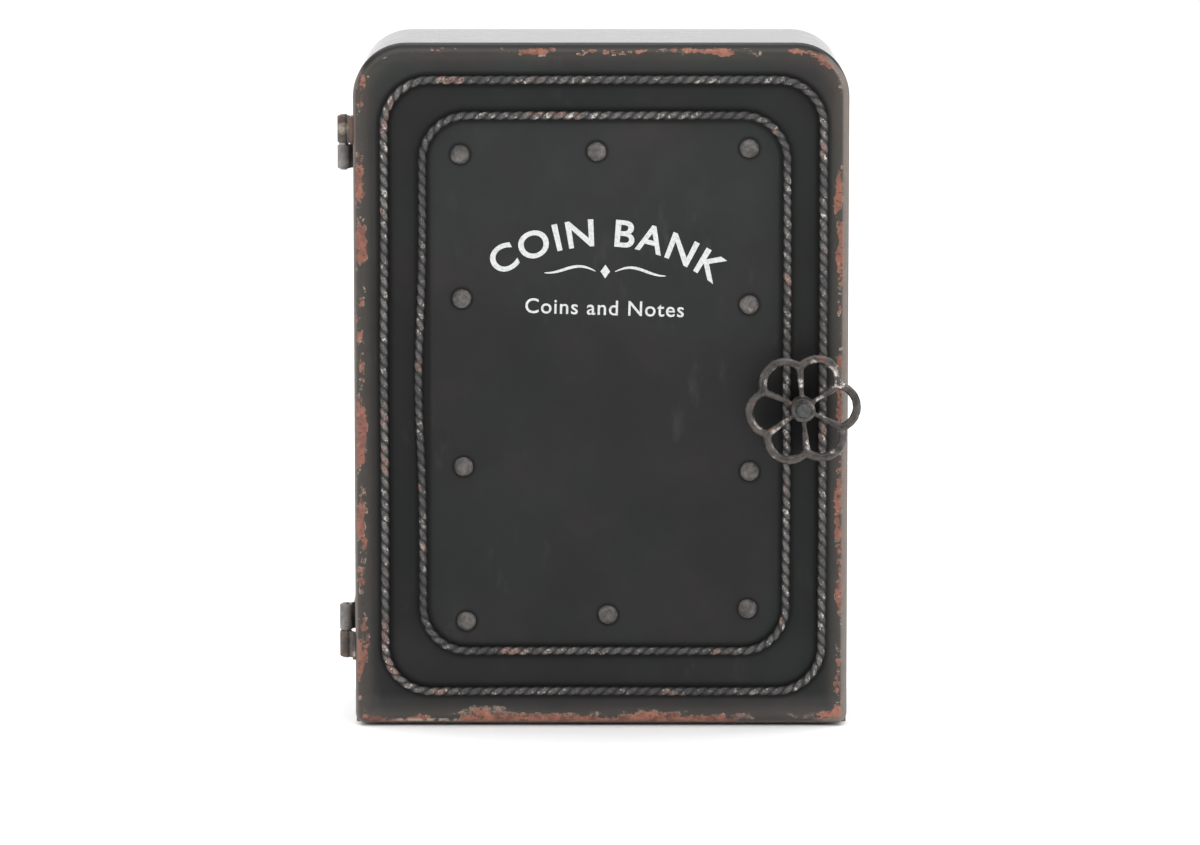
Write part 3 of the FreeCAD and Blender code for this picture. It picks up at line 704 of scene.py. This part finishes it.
def make_rivets():
    """Hammered rivets. Each is a profile turned about a line along Y: domed head, shank and low
    tail. The head's rim and height wander with the angle, differently on each rivet."""
    places = rivet_centres(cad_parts["door_rivets"])
    low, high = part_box("door_rivets")
    head, shank, tail = 4.15 * MM, 1.6 * MM, 2.6 * MM
    rise = FACE - low[1]
    back, end = high[1] - 1.0 * MM, high[1]
    t = np.linspace(0, 1, 9) * math.pi / 2
    profile = [(head * math.sin(a), FACE - rise * math.cos(a) ** 1.25) for a in t[1:]]
    profile += [(head * 0.97, FACE + 0.1 * MM), (shank, FACE + 0.1 * MM), (shank, back), (tail, back)]
    profile += [(tail * math.cos(a), back + (end - back) * math.sin(a)) for a in t[1:6]]
    profile = np.array(profile)
    sides = 36
    angle = turned(sides)
    points, faces, start = [], [], 0
    for k, (x, z) in enumerate(places):
        uneven = wander(angle, 100 + k, 4)
        lean = np.random.default_rng(40 + k).uniform(-0.25, 0.25, 2) * MM
        on_head = (profile[:, 1] < FACE + 0.05 * MM)[:, None]
        radius = profile[:, :1] * (1 + 0.055 * uneven[None, :] * on_head)
        hammered = bump(profile[:, :1], 2.6 * MM, 1.3 * MM) * on_head
        flat = 0.22 * MM * wander(angle, 200 + k, 5)[None, :] * hammered
        y = np.broadcast_to(profile[:, 1:] + flat, radius.shape)
        fall = np.clip((FACE - y) / rise, 0, 1)
        ring_x = x + radius * np.cos(angle) + lean[0] * fall
        ring_z = z + radius * np.sin(angle) + lean[1] * fall
        ring = np.stack([ring_x, y, ring_z], 2)
        tip = np.array([[x + lean[0], FACE - rise * 0.985, z + lean[1]], [x, end, z]])
        points += [ring.reshape(-1, 3), tip]
        rows = len(profile)
        faces.append(grid_faces(rows, sides) + start)
        c = np.arange(sides)
        first, last = start + rows * sides, start + rows * sides + 1
        faces.append(np.stack([np.full(sides, first), start + (c + 1) % sides, start + c], 1))
        end_row = start + (rows - 1) * sides
        faces.append(np.stack([np.full(sides, last), end_row + c, end_row + (c + 1) % sides], 1))
        start += rows * sides + 2
    return make_piece("hammered_rivets", np.concatenate(points), faces)


def rivet_centres(node):
    """The middle of each rivet in x, z: the CAD node's points grouped by which rivet they belong
    to."""
    left = np.array([v.co for v in node.data.vertices])[:, [0, 2]]
    centres = []
    while len(left):
        near = np.linalg.norm(left - left[0], axis=1) < 12 * MM
        centres.append((left[near].min(0) + left[near].max(0)) / 2)
        left = left[~near]
    return sorted((tuple(c) for c in centres), key=lambda c: (-round(c[1] / (20 * MM)), c[0]))


def make_handwheel():
    """The cast wheel. The rim is six arcs that meet at cusps, the spokes are rods that rise from
    the hub to the cusps, and the hub is a drum. The rods' thickness wanders. A voxel skin joins them
    as one casting, and its surface is left lumpy."""
    front, hub_back = (v[1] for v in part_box("handwheel"))
    rod = 1.8 * MM
    hub_length = hub_back - front
    hub_middle = hub_back - hub_length / 2
    rim_y = hub_middle - 2.5 * MM
    peak, cusp = 25.2 * MM - rod, 18.6 * MM
    half_turn = math.pi / 6
    across, up = cusp * math.cos(half_turn), cusp * math.sin(half_turn)
    reach = peak - across
    petal = (reach**2 + up**2) / (2 * reach)
    petal_centre = peak - petal
    span = math.atan2(up, across - petal_centre)
    first = math.radians(5)
    paths = []
    for k in range(6):
        t = np.linspace(-span, span, 40)
        a = first + k * math.pi / 3
        u, v = petal_centre + petal * np.cos(t), petal * np.sin(t)
        flare = 0.9 * MM * (np.hypot(u, v) - cusp) / (peak - cusp)
        x, z = u * math.cos(a) - v * math.sin(a), u * math.sin(a) + v * math.cos(a)
        width = rod * (1 + 0.10 * wander(t * 2 + k, 300 + k, 5) + 0.05 * np.cos(t))
        paths.append((np.stack([x, rim_y + flare * 0.5, z], 1), width))
        b = a + half_turn
        t = np.linspace(0, 1, 26)
        r = 3.2 * MM + (cusp - 3.2 * MM) * t
        rise = 0.25 * t + 0.75 * t**2.4
        y = hub_middle + (rim_y - hub_middle) * rise - 0.5 * MM * wander(t * 3, 370 + k, 3) * t
        width = (1.10 + 0.50 * smooth((t - 0.25) / 0.6)) * MM * (1 + 0.12 * wander(t * 4, 330 + k, 4))
        paths.append((np.stack([r * math.cos(b), y, r * math.sin(b)], 1), width))
    points, faces, start = [], [], 0
    sides = 18
    for path, width in paths:
        sideways, forward = frames_along(path, closed=False)
        points.append(tube(path, sideways, forward, width[:, None], sides).reshape(-1, 3))
        end = start + len(path) * sides
        faces.append(grid_faces(len(path), sides) + start)
        faces.append([list(range(start, start + sides))[::-1], list(range(end - sides, end))])
        start = end
    long = hub_length / MM
    hub = np.array([(4.3, 0.0), (5.2, 0.5), (5.4, 1.6), (5.4, long - 1.2), (4.6, long)]) * MM
    sides = 48
    angle = turned(sides)
    uneven = 1 + 0.03 * wander(angle, 360, 6)
    across = np.stack([radius * np.cos(angle) * uneven for radius, _ in hub])
    up = np.stack([radius * np.sin(angle) * uneven for radius, _ in hub])
    depth = np.repeat((front + hub[:, 1])[:, None], sides, 1)
    points.append(np.stack([across, depth, up], 2).reshape(-1, 3))
    end = start + len(hub) * sides
    faces.append(grid_faces(len(hub), sides) + start)
    faces.append([list(range(start, start + sides)), list(range(end - sides, end))[::-1]])
    points = np.concatenate(points)
    points[:, [0, 2]] += spindle_centre()
    piece = make_piece("cast_handwheel", points, faces)
    skin = piece.modifiers.new("Skin", "REMESH")
    skin.mode = "VOXEL"
    skin.voxel_size = 0.42 * MM
    skin.use_smooth_shade = True
    ease = piece.modifiers.new("Ease", "SMOOTH")
    ease.factor = 0.5
    ease.iterations = 5
    bake_modifiers(piece)
    co = np.zeros(len(piece.data.vertices) * 3)
    piece.data.vertices.foreach_get("co", co)
    co = co.reshape(-1, 3)
    lump = 0
    for k, f in enumerate((0.9, 1.7, 2.9)):
        q = co / MM * f
        across = np.sin(q[:, 0] + 1.7 * np.sin(q[:, 2] * 0.7 + k))
        lump = lump + across * np.sin(q[:, 2] + 1.3 * np.sin(q[:, 1] + k)) / f
    normals = np.zeros(len(co) * 3)
    piece.data.vertices.foreach_get("normal", normals)
    co += normals.reshape(-1, 3) * lump[:, None] * 0.07 * MM
    piece.data.vertices.foreach_set("co", co.ravel())
    piece.data.update()
    return piece


def make_words(name, words, height, place, arch=None, weight=0.0, spacing=1.0):
    """Painted words, a very thin solid on the door's face. Each point's distance along the words
    becomes an angle on the arch's circle and its height a distance outwards, or both stay straight
    where there is no arch."""
    curve = bpy.data.curves.new(name + "_outline", "FONT")
    curve.body = words
    curve.size = height
    curve.align_x = "CENTER"
    curve.offset = weight
    curve.space_character = spacing
    curve.resolution_u = 6
    text = bpy.data.objects.new(name + "_outline", curve)
    bpy.context.scene.collection.objects.link(text)
    graph = bpy.context.evaluated_depsgraph_get()
    graph.update()
    mesh = bpy.data.meshes.new_from_object(text.evaluated_get(graph))
    co = np.zeros(len(mesh.vertices) * 3)
    mesh.vertices.foreach_get("co", co)
    faces = [list(p.vertices) for p in mesh.polygons]
    bpy.data.objects.remove(text)
    bpy.data.curves.remove(curve)
    bpy.data.meshes.remove(mesh)
    u, v = co.reshape(-1, 3)[:, 0], co.reshape(-1, 3)[:, 1]
    if arch:
        angle = math.pi / 2 - u / arch
        u, v = (arch + v) * np.cos(angle), (arch + v) * np.sin(angle) - arch
    return finish_sign(name, u, v, place, faces)


def finish_sign(name, u, v, place, faces):
    """A flat outline, tilted and set in place, made a thin coat that follows the door's relief and
    starts just inside the enamel."""
    c, s = math.cos(SIGN_TILT), math.sin(SIGN_TILT)
    x, z = place[0] + u * c - v * s, place[1] + u * s + v * c
    points = np.stack([x, FACE + relief(x, z) - 0.05 * MM, z], 1)
    piece = make_piece(name, points, [faces], flat=True)
    coat = piece.modifiers.new("Coat", "SOLIDIFY")
    coat.thickness = 0.35 * MM
    coat.offset = -1
    return bake_modifiers(piece)


def make_scroll(name, place, half):
    """A painted rule under the arch: a diamond between two tapering waves. Each wave is a centre
    line, a decaying sine, with a width that swells and closes again."""
    t = np.linspace(0, 1, 60)
    width = (0.25 + 0.75 * np.sin(math.pi * t) ** 0.8) * 0.62 * MM
    width[0] = width[-1] = 0.05 * MM
    points, faces, start = [], [], 0
    for side in (-1, 1):
        u = side * (4.2 * MM + (half - 4.2 * MM) * t)
        v = 2.3 * MM * np.sin(1.5 * math.pi * t) * (1 - 0.45 * t)
        du, dv = np.gradient(u), np.gradient(v)
        n = np.hypot(du, dv)
        upper = np.stack([u - dv / n * width, v + du / n * width], 1)
        lower = np.stack([u + dv / n * width, v - du / n * width], 1)
        points += [upper, lower]
        k = np.arange(59)
        quads = np.stack([k, k + 1, k + 61, k + 60], 1) + start
        faces += (quads if side > 0 else quads[:, ::-1])[:, ::-1].tolist()
        start += 120
    a = turned(4) + math.pi / 2
    points.append(np.stack([2.1 * MM * np.cos(a), 3.0 * MM * np.sin(a)], 1))
    faces.append([start, start + 1, start + 2, start + 3])
    return finish_sign(name, *np.concatenate(points).T, place, faces)


def make_weld(name, centre, size, seed):
    """A bead of weld: a ball drawn out along Z whose radius wanders with both of its angles."""
    rows, columns = 14, 24
    a = np.linspace(0.001, math.pi - 0.001, rows)[:, None]
    b = turned(columns)[None, :]
    r = 1 + 0.10 * np.sin(3 * a + seed) * np.cos(2 * b + seed) + 0.08 * np.sin(5 * a + 2 * seed + b)
    x = centre[0] + size[0] * r * np.sin(a) * np.cos(b)
    y = centre[1] + size[1] * r * np.sin(a) * np.sin(b)
    z = centre[2] + size[2] * r * np.cos(a) + 0 * b
    faces = grid_faces(rows, columns)[:, ::-1]
    ends = [list(range(columns)), list(range((rows - 1) * columns, rows * columns))[::-1]]
    return make_piece(name, np.stack([x, y, z], 2), [faces, ends])


def place(piece, body, slot, material, *nodes):
    """Gives a piece its material and its body, and hides the CAD nodes it stands for. Slot is not used."""
    piece.data.materials.clear()
    piece.data.materials.append(material)
    if nodes:
        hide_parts(*nodes)
    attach(piece, body)
    return piece


def coat(material, *nodes):
    """Puts a material on CAD nodes that keep their shape."""
    for name in nodes:
        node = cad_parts[name]
        node.data.materials.clear()
        node.data.materials.append(material)


# ---- operators ----


class MONEYBOX_OT_case(bpy.types.Operator):
    """Finish the case, its frame and its back panel"""

    bl_idname = "moneybox.case"
    bl_label = "Case"

    def execute(self, context):
        coat(sheet_paint("case_enamel"), "case_wrap")
        coat(sheet_paint("panel_enamel", 0.7, panel=True), "back_panel", "base_plate", "front_frame")
        return {"FINISHED"}


class MONEYBOX_OT_door(bpy.types.Operator):
    """Make the pressed door and finish its doubler"""

    bl_idname = "moneybox.door"
    bl_label = "Door"

    def execute(self, context):
        place(make_door(sizes()), "door", "door_paint", door_paint(), "door_skin")
        coat(sheet_paint("doubler_enamel", 0.0, panel=True), "door_doubler")
        return {"FINISHED"}


class MONEYBOX_OT_ropes(bpy.types.Operator):
    """Make the two mouldings of twisted wire"""

    bl_idname = "moneybox.ropes"
    bl_label = "Wire Mouldings"

    def execute(self, context):
        wire = wire_metal()
        for side, seed, bow in (("outer", 11, 0.3 * MM), ("inner", 21, 1.9 * MM)):
            node = side + "_rope_moulding"
            rope = make_rope(side + "_wire_rope", node, sizes(), seed, bow)
            place(rope, "door", "moulding_wire", wire, node)
        return {"FINISHED"}


class MONEYBOX_OT_rivets(bpy.types.Operator):
    """Make the ten hammered rivets"""

    bl_idname = "moneybox.rivets"
    bl_label = "Rivets"

    def execute(self, context):
        steel = worn_metal(
            "rivet_steel", (0.040, 0.036, 0.034), (0.125, 0.114, 0.106), (0.50, 0.46, 0.42),
            glint=0.60, size=2.2 * MM, roughness=0.44,
        )
        place(make_rivets(), "door", "rivet_steel", steel, "door_rivets")
        return {"FINISHED"}


class MONEYBOX_OT_handwheel(bpy.types.Operator):
    """Make the cast handwheel and finish the latch behind it"""

    bl_idname = "moneybox.handwheel"
    bl_label = "Handwheel"

    def execute(self, context):
        x, z = spindle_centre()
        # Painted highlights on the rim and spokes: x and z offsets from the spindle and a radius, in
        # millimetres.
        painted_highlights = (
            (11.8, 17.8, 1.1), (13.0, 16.4, 1.0), (4.4, 20.6, 1.1), (-11.7, 16.7, 1.2),
            (-13.2, 15.4, 0.9), (-15.8, 12.0, 1.1), (6.6, 4.2, 0.8), (8.2, 5.2, 0.7),
            (-19.8, -5.0, 1.3), (-18.6, -6.8, 1.2), (-11.6, -15.4, 1.4), (-10.2, -17.2, 1.3),
            (-12.6, -9.9, 1.0), (-10.4, -8.6, 0.8), (-1.2, 12.6, 0.9), (-1.0, 10.4, 0.8),
            (2.2, -14.4, 0.9), (2.4, -16.2, 1.0), (20.6, 3.2, 0.9), (20.8, 0.8, 0.9),
            (12.6, -18.0, 0.9), (9.4, -2.6, 0.8),
        )
        spots = [(x + dx * MM, z + dz * MM, r * MM) for dx, dz, r in painted_highlights]
        iron = worn_metal(
            "wheel_iron", (0.0075, 0.0070, 0.0065), (0.078, 0.066, 0.059), (0.56, 0.51, 0.47),
            glint=0.585, size=3.4 * MM, roughness=0.30, rust=0.06, spots=spots,
        )
        place(make_handwheel(), "latch", "wheel_iron", iron, "handwheel")
        screw = worn_metal(
            "screw_steel", (0.018, 0.018, 0.018), (0.070, 0.070, 0.068), (0.55, 0.52, 0.48),
            glint=0.62, size=3 * MM, roughness=0.36,
        )
        coat(screw, "wheel_screw", "wheel_washer")
        coat(bare_metal("zinc_steel", (0.50, 0.49, 0.47)), "latch_cam", "cam_washer", "cam_nut")
        coat(bare_metal("turned_steel", (0.38, 0.37, 0.36)), "spindle", "spindle_bush", "stop_collar")
        return {"FINISHED"}


class MONEYBOX_OT_hinges(bpy.types.Operator):
    """Finish the hinges and make their weld beads"""

    bl_idname = "moneybox.hinges"
    bl_label = "Hinges"

    def execute(self, context):
        axis = middle_of("upper_hinge_pin")[0]
        upper, lower = middle_of("upper_hinge_door_leaf")[2], middle_of("lower_hinge_door_leaf")[2]
        spots = [
            (axis - 0.2 * MM, upper + 0.4 * MM, 1.9 * MM), (axis + 4.0 * MM, lower - 3.4 * MM, 1.0 * MM)
        ]
        dark = worn_metal(
            "hinge_steel", (0.040, 0.033, 0.028), (0.110, 0.092, 0.078), (0.44, 0.37, 0.31),
            glint=0.62, rust=0.12, spots=spots,
        )
        pale = worn_metal(
            "hinge_grey", (0.110, 0.104, 0.100), (0.235, 0.225, 0.215), (0.50, 0.46, 0.42), glint=0.66
        )
        coat(dark, "upper_hinge_door_leaf", "lower_hinge_door_leaf")
        coat(pale, "upper_hinge_case_leaf", "lower_hinge_case_leaf")
        steel = bare_metal("pin_steel", (0.40, 0.38, 0.36))
        coat(steel, "upper_hinge_pin", "lower_hinge_pin", "upper_hinge_washer")
        edge = DOOR_LOW[0]
        seam = -47.8 * MM
        for k, (end, part) in enumerate((("upper", 0.72), ("lower", 0.28))):
            low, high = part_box(end + "_hinge_door_leaf")
            spot = (edge - 0.9 * MM, seam, low[2] + part * (high[2] - low[2]))
            bead = make_weld(end + "_door_weld", spot, (1.5 * MM, 1.7 * MM, 3.4 * MM), 3 + k)
            place(bead, "door", "hinge_steel", dark)
        for k, node in enumerate(("upper_hinge_case_leaf", "lower_hinge_case_leaf")):
            spot = (edge - 0.9 * MM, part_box(node)[1][1], middle_of(node)[2])
            bead = make_weld(node.replace("leaf", "weld"), spot, (1.0 * MM, 1.4 * MM, 4.6 * MM), 6 + k)
            place(bead, "case", "hinge_steel", pale)
        return {"FINISHED"}


class MONEYBOX_OT_sign(bpy.types.Operator):
    """Paint the sign on the door"""

    bl_idname = "moneybox.sign"
    bl_label = "Sign"

    def execute(self, context):
        made = sizes()
        paint = Paint("sign_paint")
        wear = paint.noise(4 * MM, 4.0, 0.7)
        worn = paint.noise(1.3 * MM, 3.0, 0.65, shift=(3, 3, 3)).above(0.44, 0.66) * 0.45
        colour = paint.mix(worn, tuple(made.sign_colour), (0.30, 0.30, 0.29))
        white = paint.finish(colour, 0.5 + wear * 0.15, 0.0, wear, depth=0.02 * MM)
        arch = make_words(
            "sign_arch", made.sign, 16.4 * MM, (2.2 * MM, 212.6 * MM), 80 * MM, weight=0.30 * MM, spacing=1.14
        )
        scroll = make_scroll("sign_scroll", (1.8 * MM, 201.2 * MM), 26.5 * MM)
        line = make_words(
            "sign_line", made.line, 9.2 * MM, (1.4 * MM, 182.2 * MM), weight=0.08 * MM, spacing=1.1
        )
        for piece in (arch, scroll, line):
            place(piece, "door", "door_paint", white)
        return {"FINISHED"}


class MONEYBOX_OT_stage(bpy.types.Operator):
    """Lay the floor and set the lights and the camera"""

    bl_idname = "moneybox.stage"
    bl_label = "Stage"

    def execute(self, context):
        scene = context.scene
        near, far, bend, half_width, height = -6.0, 6.0, 1.6, 8.0, 5.0
        a = np.linspace(0, math.pi / 2, 40)
        curve = np.stack([far + bend * np.sin(a), bend - bend * np.cos(a)], 1)
        rows = np.concatenate([[(near, 0.0)], curve, [(far + bend, height)]])
        points = np.array([[(x, y, z) for x in (-half_width, half_width)] for y, z in rows])
        floor = make_piece("floor", points, [grid_faces(len(rows), 2, close_columns=False)[:, ::-1]])
        paint = Paint("paper")
        tone = paint.noise(0.6, 2.0)
        paper = paint.mix(tone, (0.93, 0.93, 0.93), (0.95, 0.95, 0.95))
        floor.data.materials.append(paint.finish(paper, 0.6, specular=0.2))
        world = bpy.data.worlds.new("studio")
        scene.world = world
        world.use_nodes = True
        nodes, links = world.node_tree.nodes, world.node_tree.links
        nodes["Background"].inputs["Color"].default_value = (1, 1, 1, 1)
        direction = nodes.new("ShaderNodeSeparateXYZ")
        links.new(nodes.new("ShaderNodeTexCoord").outputs["Generated"], direction.inputs[0])
        fade = nodes.new("ShaderNodeMapRange")
        fade.interpolation_type = "SMOOTHSTEP"
        for key, value in (("From Min", -0.25), ("From Max", 0.25), ("To Min", 0.42), ("To Max", 1.20)):
            fade.inputs[key].default_value = value
        links.new(direction.outputs["Y"], fade.inputs["Value"])
        links.new(fade.outputs["Result"], nodes["Background"].inputs["Strength"])
        box, wall = Vector((0, 0, 0.15)), Vector((0, 2.8, 0))
        for name, spot, aim, size, power in (
            ("overhead", (0.0, -0.7, 2.4), box, (3.4, 2.6), 56.0),
            ("backdrop", (0.0, 2.8, 3.0), wall, (6.0, 5.0), 115.0),
            ("left_window", (-1.9, -1.5, 1.2), box, (0.7, 1.6), 12.0),
            ("right_window", (2.0, -1.3, 0.9), box, (0.6, 1.6), 18.0),
        ):
            lamp = bpy.data.lights.new(name, "AREA")
            lamp.shape = "RECTANGLE"
            lamp.size, lamp.size_y = size
            lamp.energy = power
            holder = bpy.data.objects.new(name, lamp)
            holder.location = spot
            holder.rotation_euler = (aim - Vector(spot)).to_track_quat("-Z", "Y").to_euler()
            scene.collection.objects.link(holder)
        camera = bpy.data.objects.new("camera", bpy.data.cameras.new("camera"))
        camera.data.sensor_width = 36
        camera.data.lens = 191.0
        camera.data.clip_end = 50
        camera.location = (-0.0005, -2.815, 0.4955)
        camera.rotation_euler = (math.radians(90 - 7.45), 0, 0)
        scene.collection.objects.link(camera)
        scene.camera = camera
        scene.view_settings.view_transform = "Standard"
        return {"FINISHED"}


class MONEYBOX_PT_panel(bpy.types.Panel):
    """Lists the pieces of the money box"""

    bl_idname = "MONEYBOX_PT_panel"
    bl_label = "Money Box"
    bl_space_type = "VIEW_3D"
    bl_region_type = "UI"
    bl_category = "Money Box"

    def draw(self, context):
        for name in MoneyBoxSizes.__annotations__:
            self.layout.prop(context.scene.money_box, name)
        for operator in OPERATORS:
            self.layout.operator(operator.bl_idname)


OPERATORS = (
    MONEYBOX_OT_case,
    MONEYBOX_OT_door,
    MONEYBOX_OT_ropes,
    MONEYBOX_OT_rivets,
    MONEYBOX_OT_handwheel,
    MONEYBOX_OT_hinges,
    MONEYBOX_OT_sign,
    MONEYBOX_OT_stage,
)
CLASSES = (MoneyBoxSizes, *OPERATORS, MONEYBOX_PT_panel)


def register():
    for made in CLASSES:
        bpy.utils.register_class(made)
    bpy.types.Scene.money_box = bpy.props.PointerProperty(type=MoneyBoxSizes)


def unregister():
    del bpy.types.Scene.money_box
    for made in reversed(CLASSES):
        bpy.utils.unregister_class(made)


def main():
    register()
    for operator in OPERATORS:
        group, name = operator.bl_idname.split(".")
        getattr(getattr(bpy.ops, group), name)()


if __name__ == "__main__":
    main()
